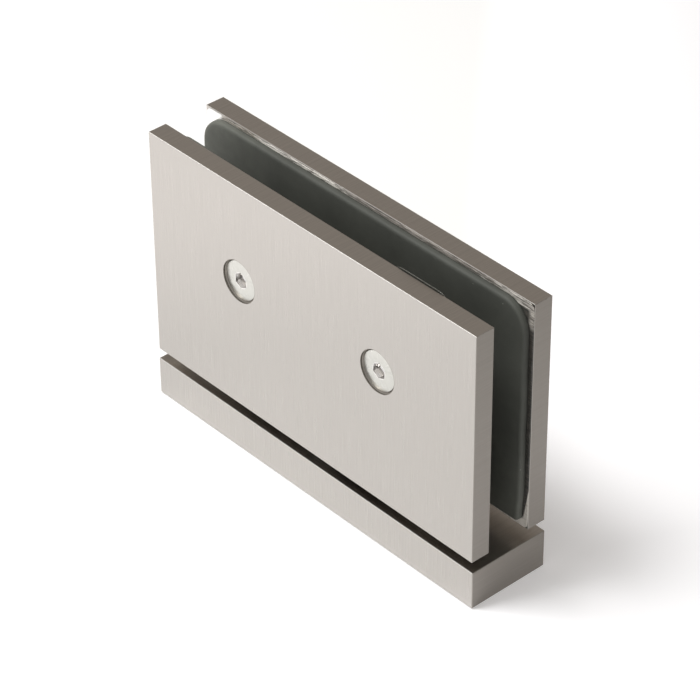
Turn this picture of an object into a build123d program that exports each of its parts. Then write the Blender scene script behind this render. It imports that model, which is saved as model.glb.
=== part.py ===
from build123d import *
import os

os.makedirs("parts", exist_ok=True)

# Pivot shower door hinge for the foot of a frameless glass door.
# Origin: centre of the base bar's bottom face. +Z is up, X runs along the bar,
# and the plate with the two clamp screws faces -Y. Lengths are in millimetres.

# Clamp plates
plate_length = 90.0
plate_height = 51.0
plate_thickness = 4.3
plate_gap = 10.0
plate_edge_break = 0.08

# Base bar
base_height = 8.4
base_end_overhang = 0.2
base_edge_break = 0.12
running_gap = 2.4
mount_hole_spacing = 54.0
mount_hole_radius = 2.65
mount_sink_radius = 5.2

# Pivot block between the plates
block_length = 62.0
block_height = 36.0
block_corner_radius = 6.0

# Pivot pin
pin_radius = 3.0
pin_seat_radius = 4.0
pin_end_recess = 0.1
pin_reach = 27.0
detent_flat_depth = 0.35
detent_flat_margin = 0.9

# Pin lock screw in the bar's rear face
lock_screw_radius = 2.0
lock_screw_length = 4.6
lock_screw_key = 2.0
lock_flat_depth = 0.4

# Bushes and thrust washer
bush_wall = 0.8
bush_length = 7.0
washer_radius = 7.0

# Sprung plungers
plunger_rise = 13.0
plunger_radius = 2.4
plunger_length = 9.6
plunger_nose_chamfer = 0.4
spring_wire = 0.56
spring_turns = 2.5
plug_radius = 3.0
plug_length = 8.8
plug_key = 3.0
plug_recess = 0.6

# Clamp screws, through the front plate into the block
clamp_screw_inset = 11.6
clamp_screw_rise = 29.45
clamp_screw_radius = 2.5
clamp_screw_end_gap = 1.25
clamp_head_radius = 4.2
clamp_head_rim = 0.25
clamp_key = 3.0
clamp_key_depth = 1.9
left_key_turn = 30.0
right_key_turn = 25.0
recess_clearance = 0.35
left_head_sink = 0.46
right_head_sink = 0.42

# Block screws, through the block into the rear plate
block_screw_spacing = 22.0
block_screw_rise = 21.5
block_screw_radius = 2.0
block_screw_bite = 2.9
block_head_radius = 3.8
block_head_rim = 0.2
block_head_sink = 0.4
block_key = 2.5
block_key_depth = 1.4
block_key_turn = 0.0
blind_hole_spare = 0.4

# Rubber gaskets and the adhesive film behind them
gasket_thickness = 1.4
gasket_end_inset = 1.15
front_gasket_top_inset = 1.5
rear_gasket_top_inset = 0.85
gasket_bottom_inset = 1.5
gasket_top_radius = 6.0
gasket_bottom_radius = 1.0
film_thickness = 0.1
front_film_inset = 1.4
rear_film_inset = 0.2

# Fits
running_clearance = 0.03
sliding_clearance = 0.06
fixed_clearance = 0.03
spring_clearance = 0.2
screw_clearance = 0.25
notch_clearance = 0.5
socket_depth = 2.0

# Places that follow from the sizes
clamp_depth = plate_gap + 2 * plate_thickness
front_face = Plane.XZ.offset(clamp_depth / 2)
clamp_bottom = base_height + running_gap
clamp_middle = clamp_bottom + plate_height / 2
block_top = clamp_bottom + block_height
bush_radius = pin_radius + bush_wall
pin_top = clamp_bottom + pin_reach
upper_bush_bottom = pin_top - bush_length
lock_screw_z = base_height / 2
plunger_z = clamp_bottom + plunger_rise
plunger_bore_radius = plunger_radius + sliding_clearance
plunger_nose_x = pin_radius + running_clearance
plunger_tail_x = plunger_nose_x + plunger_length
plug_outer_x = block_length / 2 - plug_recess
plug_inner_x = plug_outer_x - plug_length
spring_coil_radius = plunger_radius - spring_wire / 2 - spring_clearance
clamp_screw_z = clamp_bottom + clamp_screw_rise
clamp_screw_x = block_length / 2 - clamp_screw_inset
block_screw_z = clamp_bottom + block_screw_rise
sides = (("left", -1), ("right", 1))
recess_radius = clamp_head_radius + recess_clearance
head_sink = {"left": left_head_sink, "right": right_head_sink}
key_turn = {"left": left_key_turn, "right": right_key_turn}


def seat_depth(sink, rim, head_radius, hole_radius):
    """Depth below the face at which a sunk hole's cone starts, for a head sunk this far."""
    return sink + rim - (hole_radius - head_radius) + fixed_clearance


def flat_head_screw(face, head_radius, rim, radius, length, key, key_depth, turn):
    """Flat-head socket screw. The plane lies on its head and looks out of it."""
    section = Plane(origin=face.origin, x_dir=face.x_dir, z_dir=-face.y_dir)
    neck = rim + head_radius - radius
    with BuildPart() as screw:
        with BuildSketch(section):
            with BuildLine():
                Polyline(
                    (0, 0),
                    (head_radius, 0),
                    (head_radius, -rim),
                    (radius, -neck),
                    (radius, -length),
                    (0, -length),
                    close=True,
                )
            make_face()
        revolve(axis=Axis(face.origin, face.z_dir))
        with BuildSketch(face):
            RegularPolygon(key / 2, 6, major_radius=False, rotation=turn)
        extrude(amount=-key_depth, mode=Mode.SUBTRACT)
    return screw.part


def socket_plug(face, radius, length, key):
    """Headless socket screw. The plane lies on its keyed end and looks out of it."""
    with BuildPart() as plug:
        with BuildSketch(face):
            Circle(radius)
        extrude(amount=-length)
        with BuildSketch(face):
            RegularPolygon(key / 2, 6, major_radius=False)
        extrude(amount=-socket_depth, mode=Mode.SUBTRACT)
    return plug.part


def bush(bottom):
    """Plain bearing for the pin."""
    with BuildPart() as sleeve:
        with BuildSketch(Plane.XY.offset(bottom)):
            Circle(bush_radius - fixed_clearance)
            Circle(pin_radius + running_clearance, mode=Mode.SUBTRACT)
        extrude(amount=bush_length)
    return sleeve.part


def pad(start, thickness, end_inset, top_inset, bottom_inset, top_radius, bottom_radius):
    """Sheet on a plate's inner face, cut out round the pivot block."""
    width = plate_length - 2 * end_inset
    low = clamp_bottom + bottom_inset
    high = clamp_bottom + plate_height - top_inset
    notch_top = block_top + notch_clearance
    with BuildPart() as sheet:
        with BuildSketch(start):
            with Locations((0, low)):
                Rectangle(width, high - low, align=(Align.CENTER, Align.MIN))
        extrude(amount=thickness)
        if top_radius > 0:
            fillet(sheet.edges().filter_by(Axis.Y).group_by(Axis.Z)[-1], top_radius)
        if bottom_radius > 0:
            fillet(sheet.edges().filter_by(Axis.Y).group_by(Axis.Z)[0], bottom_radius)
        with BuildSketch(start) as notch:
            with Locations((0, notch_top)):
                Rectangle(
                    block_length + 2 * notch_clearance,
                    notch_top,
                    align=(Align.CENTER, Align.MAX),
                )
            fillet(notch.vertices().group_by(Axis.Y)[-1], block_corner_radius + notch_clearance)
        extrude(amount=thickness, mode=Mode.SUBTRACT)
    return sheet.part


# Base bar: a solid brushed bar, fixed to the threshold through two sunk holes.
# The pin stands in its middle.
with BuildPart() as base_plate:
    with BuildSketch(Plane.XY):
        Rectangle(plate_length + 2 * base_end_overhang, clamp_depth)
    extrude(amount=base_height)
    chamfer(base_plate.edges(), base_edge_break)
    with Locations(Plane.XY.offset(base_height)):
        with GridLocations(mount_hole_spacing, 0, 2, 1):
            CounterSinkHole(mount_hole_radius, mount_sink_radius, counter_sink_angle=90)
    with BuildSketch(Plane.XY):
        Circle(pin_seat_radius + fixed_clearance)
    extrude(amount=base_height, mode=Mode.SUBTRACT)
    with BuildSketch(Plane.XZ):
        with Locations((0, lock_screw_z)):
            Circle(lock_screw_radius + fixed_clearance)
    extrude(amount=-clamp_depth / 2, mode=Mode.SUBTRACT)
base_plate.part.label = "base_plate"
export_step(base_plate.part, "parts/base_plate.step")

# Pivot pin: turned in one piece, with a thick seat in the bar and a long journal.
# Four shallow flats at plunger height centre the door at 0 and 90 degrees.
with BuildPart() as pivot_pin:
    with BuildSketch(Plane.XZ):
        with BuildLine():
            Polyline(
                (0, pin_end_recess),
                (pin_seat_radius, pin_end_recess),
                (pin_seat_radius, base_height),
                (pin_radius, base_height),
                (pin_radius, pin_top),
                (0, pin_top),
                close=True,
            )
        make_face()
    revolve(axis=Axis.Z)
    with BuildSketch(Plane.XY.offset(plunger_z - plunger_radius - detent_flat_margin)):
        Circle(pin_radius + running_clearance)
        Rectangle(
            2 * (pin_radius - detent_flat_depth),
            2 * (pin_radius - detent_flat_depth),
            mode=Mode.SUBTRACT,
        )
    extrude(amount=2 * (plunger_radius + detent_flat_margin), mode=Mode.SUBTRACT)
    with BuildSketch(Plane.XY.offset(pin_end_recess)):
        with Locations((0, pin_seat_radius - lock_flat_depth)):
            Rectangle(
                2 * pin_seat_radius,
                pin_seat_radius,
                align=(Align.CENTER, Align.MIN),
            )
    extrude(amount=base_height - pin_end_recess, mode=Mode.SUBTRACT)
pivot_pin.part.label = "pivot_pin"
export_step(pivot_pin.part, "parts/pivot_pin.step")

# Lock screw: sets the pin's angle from behind the bar.
lock_screw_y = pin_seat_radius - lock_flat_depth + fixed_clearance + lock_screw_length
lock_screw_face = Plane(origin=(0, lock_screw_y, lock_screw_z), x_dir=(1, 0, 0), z_dir=(0, 1, 0))
pin_lock_screw = socket_plug(lock_screw_face, lock_screw_radius, lock_screw_length, lock_screw_key)
pin_lock_screw.label = "pin_lock_screw"
export_step(pin_lock_screw, "parts/pin_lock_screw.step")

# Thrust washer: carries the door's weight on the bar.
with BuildPart() as thrust_washer:
    with BuildSketch(Plane.XY.offset(base_height)):
        Circle(washer_radius)
        Circle(pin_radius + sliding_clearance, mode=Mode.SUBTRACT)
    extrude(amount=running_gap - running_clearance)
thrust_washer.part.label = "thrust_washer"
export_step(thrust_washer.part, "parts/thrust_washer.step")

# Bushes: one at the foot of the block and one at the pin's top.
lower_bush = bush(clamp_bottom)
lower_bush.label = "lower_bush"
export_step(lower_bush, "parts/lower_bush.step")
upper_bush = bush(upper_bush_bottom)
upper_bush.label = "upper_bush"
export_step(upper_bush, "parts/upper_bush.step")

# Pivot block: sits in the notch of the glass, holds the bushes on the pin and the
# plungers across it, and keeps the plates apart.
with BuildPart() as pivot_block:
    with BuildSketch(Plane.XY.offset(clamp_bottom)):
        Rectangle(block_length, plate_gap)
    extrude(amount=block_height)
    fillet(pivot_block.edges().filter_by(Axis.Y).group_by(Axis.Z)[-1], block_corner_radius)
    with BuildSketch(Plane.XY.offset(clamp_bottom)):
        Circle(bush_radius)
    extrude(amount=pin_reach + fixed_clearance, mode=Mode.SUBTRACT)
    with BuildSketch(Plane.YZ.offset(-block_length / 2)):
        with Locations((0, plunger_z)):
            Circle(plunger_bore_radius)
    extrude(amount=block_length, mode=Mode.SUBTRACT)
    for side, sign in sides:
        with BuildSketch(Plane.YZ.offset(sign * (plug_inner_x - fixed_clearance))):
            with Locations((0, plunger_z)):
                Circle(plug_radius + fixed_clearance)
        extrude(amount=sign * block_length / 2, mode=Mode.SUBTRACT)
    with BuildSketch(Plane.XZ.offset(plate_gap / 2)):
        with Locations((0, clamp_screw_z)):
            with GridLocations(2 * clamp_screw_x, 0, 2, 1):
                Circle(clamp_screw_radius + fixed_clearance)
    extrude(amount=-plate_gap, mode=Mode.SUBTRACT)
    block_sink_radius = block_head_radius + 2 * fixed_clearance
    block_seat = seat_depth(block_head_sink, block_head_rim, block_head_radius, block_sink_radius)
    with Locations(Plane.XZ.offset(plate_gap / 2 - block_seat)):
        with Locations((0, block_screw_z)):
            with GridLocations(block_screw_spacing, 0, 2, 1):
                CounterSinkHole(
                    block_screw_radius + screw_clearance,
                    block_sink_radius,
                    counter_sink_angle=90,
                )
pivot_block.part.label = "pivot_block"
export_step(pivot_block.part, "parts/pivot_block.step")

# Plungers, springs and plugs: one set each side of the pin, in one cross bore.
# The plungers stand on the circle that the pin's corners turn in, and the springs
# are wound from square wire, which gives the most force in a short bore.
spring_seat_gap = spring_wire / 2 + fixed_clearance
spring_rise = plug_inner_x - plunger_tail_x - 2 * spring_seat_gap
bore_section = Plane(origin=(0, 0, plunger_z), x_dir=(1, 0, 0), z_dir=(0, -1, 0))
for side, sign in sides:
    with BuildPart() as plunger:
        with BuildSketch(bore_section):
            with BuildLine():
                Polyline(
                    (sign * plunger_nose_x, 0),
                    (sign * plunger_nose_x, plunger_radius - plunger_nose_chamfer),
                    (sign * (plunger_nose_x + plunger_nose_chamfer), plunger_radius),
                    (sign * plunger_tail_x, plunger_radius),
                    (sign * plunger_tail_x, 0),
                    close=True,
                )
            make_face()
        revolve(axis=Axis(bore_section.origin, bore_section.x_dir))
    plunger.part.label = "plunger_" + side
    export_step(plunger.part, "parts/plunger_" + side + ".step")

    with BuildPart() as spring:
        with BuildLine() as coil:
            Helix(
                pitch=spring_rise / spring_turns,
                height=spring_rise,
                radius=spring_coil_radius,
                center=(sign * (plunger_tail_x + spring_seat_gap), 0, plunger_z),
                direction=(sign, 0, 0),
            )
        with BuildSketch(Plane(origin=coil.line @ 0, x_dir=(sign, 0, 0), z_dir=coil.line % 0)):
            Rectangle(spring_wire, spring_wire)
        sweep(path=coil.line, is_frenet=True)
    spring.part.label = "spring_" + side
    export_step(spring.part, "parts/spring_" + side + ".step")

    plug_face = Plane(origin=(sign * plug_outer_x, 0, plunger_z), z_dir=(sign, 0, 0))
    spring_plug = socket_plug(plug_face, plug_radius, plug_length, plug_key)
    spring_plug.label = "spring_plug_" + side
    export_step(spring_plug, "parts/spring_plug_" + side + ".step")

# Front plate: brushed plate with two deep sunk holes for the clamp screws.
with BuildPart() as front_plate:
    with BuildSketch(front_face):
        with Locations((0, clamp_middle)):
            Rectangle(plate_length, plate_height)
    extrude(amount=-plate_thickness)
    chamfer(front_plate.edges(), plate_edge_break)
    for side, sign in sides:
        seat = seat_depth(head_sink[side], clamp_head_rim, clamp_head_radius, recess_radius)
        with Locations(front_face.offset(-seat)):
            with Locations((sign * clamp_screw_x, clamp_screw_z)):
                CounterSinkHole(
                    clamp_screw_radius + screw_clearance,
                    recess_radius,
                    counter_sink_angle=90,
                )
front_plate.part.label = "front_plate"
export_step(front_plate.part, "parts/front_plate.step")

# Rear plate: the same blank, plain outside, with blind threads for the block screws.
with BuildPart() as rear_plate:
    with BuildSketch(Plane.XZ.offset(-plate_gap / 2)):
        with Locations((0, clamp_middle)):
            Rectangle(plate_length, plate_height)
    extrude(amount=-plate_thickness)
    chamfer(rear_plate.edges(), plate_edge_break)
    with BuildSketch(Plane.XZ.offset(-plate_gap / 2)):
        with Locations((0, block_screw_z)):
            with GridLocations(block_screw_spacing, 0, 2, 1):
                Circle(block_screw_radius + fixed_clearance)
    extrude(amount=-(block_screw_bite + blind_hole_spare), mode=Mode.SUBTRACT)
rear_plate.part.label = "rear_plate"
export_step(rear_plate.part, "parts/rear_plate.step")

# Clamp screws and block screws.
clamp_screw_length = plate_thickness + plate_gap - left_head_sink - clamp_screw_end_gap
block_screw_length = plate_gap - block_head_sink + block_screw_bite
for side, sign in sides:
    clamp_face = Plane(
        origin=(
            sign * clamp_screw_x,
            head_sink[side] - clamp_depth / 2,
            clamp_screw_z,
        ),
        x_dir=(1, 0, 0),
        z_dir=(0, -1, 0),
    )
    clamp_screw = flat_head_screw(
        clamp_face,
        clamp_head_radius,
        clamp_head_rim,
        clamp_screw_radius,
        clamp_screw_length,
        clamp_key,
        clamp_key_depth,
        key_turn[side],
    )
    clamp_screw.label = "clamp_screw_" + side
    export_step(clamp_screw, "parts/clamp_screw_" + side + ".step")

    block_face = Plane(
        origin=(
            sign * block_screw_spacing / 2,
            block_head_sink - plate_gap / 2,
            block_screw_z,
        ),
        x_dir=(1, 0, 0),
        z_dir=(0, -1, 0),
    )
    block_screw = flat_head_screw(
        block_face,
        block_head_radius,
        block_head_rim,
        block_screw_radius,
        block_screw_length,
        block_key,
        block_key_depth,
        block_key_turn,
    )
    block_screw.label = "block_screw_" + side
    export_step(block_screw, "parts/block_screw_" + side + ".step")

# Gaskets and films: a rubber pad on each plate, held by a thin adhesive film. The
# rear film shows as a narrow margin round its gasket.
gasket_face_y = plate_gap / 2 - film_thickness
film_starts = {"front": gasket_face_y, "rear": -plate_gap / 2}
gasket_starts = {"front": gasket_face_y - gasket_thickness, "rear": -gasket_face_y}
gasket_top_inset = {"front": front_gasket_top_inset, "rear": rear_gasket_top_inset}
film_inset = {"front": front_film_inset, "rear": rear_film_inset}
for place in ("front", "rear"):
    gasket = pad(
        Plane.XZ.offset(gasket_starts[place]),
        gasket_thickness,
        gasket_end_inset,
        gasket_top_inset[place],
        gasket_bottom_inset,
        gasket_top_radius,
        gasket_bottom_radius,
    )
    gasket.label = place + "_gasket"
    export_step(gasket, "parts/" + place + "_gasket.step")

    film = pad(
        Plane.XZ.offset(film_starts[place]),
        film_thickness,
        film_inset[place],
        film_inset[place],
        gasket_bottom_inset,
        0,
        0,
    )
    film.label = place + "_adhesive_film"
    export_step(film, "parts/" + place + "_adhesive_film.step")
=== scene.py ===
import math

import bmesh
import bpy
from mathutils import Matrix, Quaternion, Vector, noise


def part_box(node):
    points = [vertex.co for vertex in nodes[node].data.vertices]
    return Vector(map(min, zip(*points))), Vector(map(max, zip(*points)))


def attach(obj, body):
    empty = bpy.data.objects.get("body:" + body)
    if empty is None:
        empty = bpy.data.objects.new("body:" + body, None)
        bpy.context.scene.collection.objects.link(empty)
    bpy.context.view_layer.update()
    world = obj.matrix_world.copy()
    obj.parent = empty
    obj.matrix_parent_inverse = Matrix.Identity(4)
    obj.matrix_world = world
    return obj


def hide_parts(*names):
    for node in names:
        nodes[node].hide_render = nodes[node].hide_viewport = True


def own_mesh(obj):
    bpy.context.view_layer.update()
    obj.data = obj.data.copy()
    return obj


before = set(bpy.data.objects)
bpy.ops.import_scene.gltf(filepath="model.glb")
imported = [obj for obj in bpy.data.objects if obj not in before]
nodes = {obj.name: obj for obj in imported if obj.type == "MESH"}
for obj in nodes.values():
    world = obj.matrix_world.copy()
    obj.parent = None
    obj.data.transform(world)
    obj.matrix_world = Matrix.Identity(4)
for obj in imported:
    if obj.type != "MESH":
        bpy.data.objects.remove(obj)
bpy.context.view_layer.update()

# Camera
# It looks down on the hinge from the front right through a long lens, so that the
# clamp screws, the glass slot and the right end all show.
camera_place = (0.3690, -0.3272, 0.3918)
camera_aim = (-0.6022, 0.5363, -0.5914)
camera_roll = math.radians(-0.46)
camera_lens = 166.6
camera_sensor = 36.0
camera = bpy.data.objects.new("camera", bpy.data.cameras.new("camera"))
camera.data.lens = camera_lens
camera.data.sensor_width = camera_sensor
camera.data.dof.use_dof = False
camera.location = camera_place
camera.rotation_mode = "QUATERNION"
level_view = Vector(camera_aim).to_track_quat("-Z", "Y")
camera.rotation_quaternion = level_view @ Quaternion((0, 0, 1), camera_roll)
bpy.context.collection.objects.link(camera)
scene = bpy.context.scene
scene.camera = camera
scene.view_settings.view_transform = "Standard"

# Studio floor and room
# A matt paper sheet under the hinge, in a pale room whose walls are white low down and grey
# above. The front wall is white to above head height. The paper's tone carries painted light
# and shade: whitest on the left and graduated to grey beyond the right end, standing in for
# light that is stronger on the left and weaker and shadowed beyond the right end.
floor_half = 3.0
floor_drop = 0.0002
paper_direction = (0.72, 0.69, 0)
paper_reach = 0.13
# Painted light and shade in the paper, each tone at its distance in metres along the paper's
# direction from the hinge.
paper_painted_light_tones = (
    (-0.100, "F4F3F2"),
    (-0.055, "E3E3E2"),
    (0.000, "DEDEDD"),
    (0.018, "DDDDDC"),
    (0.030, "EDEDEF"),
    (0.048, "EFEFF1"),
    (0.060, "E6E6E8"),
    (0.120, "C6C5C4"),
)
floor_glow = 0.25
wall_white = "FFFFFF"
ceiling_grey = "96908A"
wall_low = 0.02
wall_high = 0.34
front_wall_rise = 0.7


def linear(hex_colour):
    """An sRGB hex colour as the linear colour that a shader takes."""
    made = []
    for start in (0, 2, 4):
        value = int(hex_colour[start : start + 2], 16) / 255
        made.append(value / 12.92 if value <= 0.04045 else ((value + 0.055) / 1.055) ** 2.4)
    return (*made, 1.0)


def join(tree, node, sockets):
    """Sets a node's inputs, each to a value, an output or a node's first output."""
    for name, value in sockets.items():
        if isinstance(value, bpy.types.Node):
            value = value.outputs[0]
        if isinstance(value, bpy.types.NodeSocket):
            tree.links.new(value, node.inputs[name])
        else:
            node.inputs[name].default_value = value


def add(tree, kind, sockets=None, **settings):
    """Adds a node with its settings and joins its inputs. On a Mix node that blends
    colours, these are inputs 6 and 7 and output 2."""
    made = tree.nodes.new(kind)
    for name, value in settings.items():
        setattr(made, name, value)
    join(tree, made, sockets or {})
    return made


def empty_tree(block):
    """The node tree of a new material or world, with nothing in it."""
    block.use_nodes = True
    block.node_tree.nodes.clear()
    return block.node_tree


def graded(tree, along, reach, tones):
    """Tones along a line, each at its distance from the middle, in metres."""
    share = add(tree, "ShaderNodeMapRange", {0: along, 1: -reach, 2: reach})
    made = add(tree, "ShaderNodeValToRGB", {0: share})
    stops = made.color_ramp.elements
    while len(stops) < len(tones):
        stops.new(1.0)
    for stop, (distance, tone) in zip(stops, tones):
        stop.position = (distance + reach) / (2 * reach)
        stop.color = linear(tone)
    return made


# Matt paper has no shine. The camera sees it white, with the hinge's soft shadow.
floor_paper = bpy.data.materials.new("matt_white_paper")
tree = empty_tree(floor_paper)
ray = add(tree, "ShaderNodeLightPath").outputs
place = add(tree, "ShaderNodeTexCoord").outputs
across = add(
    tree, "ShaderNodeVectorMath", {0: place["Object"], 1: paper_direction}, operation="DOT_PRODUCT"
)
tones = graded(tree, across.outputs["Value"], paper_reach, paper_painted_light_tones)
paper = add(tree, "ShaderNodeBsdfDiffuse", {"Color": tones})
direct = add(tree, "ShaderNodeMath", {0: ray["Is Camera Ray"], 1: ray["Is Glossy Ray"]})
sighted = add(tree, "ShaderNodeMath", {0: direct, 1: ray["Is Transmission Ray"]}, use_clamp=True)
glow = add(tree, "ShaderNodeMath", {0: sighted, 1: floor_glow}, operation="MULTIPLY")
shine = add(tree, "ShaderNodeEmission", {"Strength": glow})
both = add(tree, "ShaderNodeAddShader", {0: paper, 1: shine})
add(tree, "ShaderNodeOutputMaterial", {"Surface": both})

floor_mesh = bpy.data.meshes.new("floor")
corners = ((-1, -1), (1, -1), (1, 1), (-1, 1))
floor_corners = [(x * floor_half, y * floor_half, -floor_drop) for x, y in corners]
floor_mesh.from_pydata(floor_corners, [], [(0, 1, 2, 3)])
floor_mesh.materials.append(floor_paper)
floor = bpy.data.objects.new("floor", floor_mesh)
bpy.context.collection.objects.link(floor)

room = bpy.data.worlds.new("pale_room")
scene.world = room
tree = empty_tree(room)
toward = add(tree, "ShaderNodeTexCoord").outputs
height = add(tree, "ShaderNodeSeparateXYZ", {0: toward["Generated"]}).outputs
in_front = add(tree, "ShaderNodeMath", {0: height["Y"], 1: 0.0}, operation="MINIMUM")
held_down = add(
    tree,
    "ShaderNodeMath",
    {0: in_front, 1: front_wall_rise, 2: height["Z"]},
    operation="MULTIPLY_ADD",
)
rise = add(
    tree,
    "ShaderNodeMapRange",
    {0: held_down, 1: wall_low, 2: wall_high},
    interpolation_type="SMOOTHSTEP",
)
walls = add(
    tree,
    "ShaderNodeMix",
    {0: rise, 6: linear(wall_white), 7: linear(ceiling_grey)},
    data_type="RGBA",
)
lit = add(tree, "ShaderNodeBackground", {"Color": walls.outputs[2]})
add(tree, "ShaderNodeOutputWorld", {"Surface": lit})

# Lamp
# One wide soft lamp stands high on the left, in front, and throws the soft shadow to
# the right.
lamp_from = (-0.21, -0.32, 0.97)
lamp_distance = 0.72
lamp_width = 0.24
lamp_power = 4.2
light = bpy.data.lights.new("key_lamp", "AREA")
light.shape = "SQUARE"
light.size = lamp_width
light.energy = lamp_power
lamp = bpy.data.objects.new("key_lamp", light)
toward_lamp = Vector(lamp_from).normalized()
lamp.location = toward_lamp * lamp_distance
lamp.rotation_mode = "QUATERNION"
lamp.rotation_quaternion = (-toward_lamp).to_track_quat("-Z", "Y")
bpy.context.collection.objects.link(lamp)

# Base bar
# A solid metal bar, milled square on its edges and ends, brushed and then plated with
# satin nickel. It is fixed to the threshold through two sunk holes.
nickel_bright = "C2BEBA"
nickel_streak = "B6B2AE"
# Painted reflection tint: ends and tops are warmed, standing in for the warm room they mirror.
painted_reflection_tint = "FFFCF7"
# Painted highlight on broken edges along the top, and painted shade on upright ones.
edge_painted_highlight = "DAD7D2"
edge_painted_shade = "A5A19B"
# A face looks along an axis this squarely at least, and a broken edge at most.
face_squareness = 0.95
edge_squareness = 0.8
# How far sideways a broken edge along the top looks, and an upright one.
edge_top_sideways = 0.25
edge_upright_sideways = 0.55
# Painted shade: the ends' colour is darkened, standing in for the shadowed floor they mirror.
end_shade = 0.56
end_roughness = 0.36
show_roughness = 0.3
# Shade and roughness of the faces that look up or down.
base_top_finish = (1.0, 0.33)
# How much the roughness varies on ends, show faces and tops.
roughness_play = (0.04, 0.04, 0.05)
nickel_grain = 0.5
# How much stronger the brush marks show on tops.
top_marks = 2.0
# Drawn coarser than the real brushing, which is too fine to show.
brush_spacing = 0.00018
brush_length = 0.012
brush_relief = 0.06
brush_depth = 0.00004
# Blender's noise seldom leaves this range.
noise_low = 0.3
noise_high = 0.7
# Painted shade on the walls of the screw holes.
bore_painted_shade = "8F8A83"
bore_margin = 0.00006


def surface(tree, colour, roughness, pattern, relief, depth, metallic=1.0, **sockets):
    """The finished surface, with its colour, roughness and relief. It is metal unless
    told otherwise."""
    raised = add(tree, "ShaderNodeBump", {"Height": pattern, "Strength": relief, "Distance": depth})
    skin = add(
        tree,
        "ShaderNodeBsdfPrincipled",
        {
            "Base Color": colour,
            "Metallic": metallic,
            "Roughness": roughness,
            "Normal": raised,
            **sockets,
        },
    )
    add(tree, "ShaderNodeOutputMaterial", {"Surface": skin})


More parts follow.
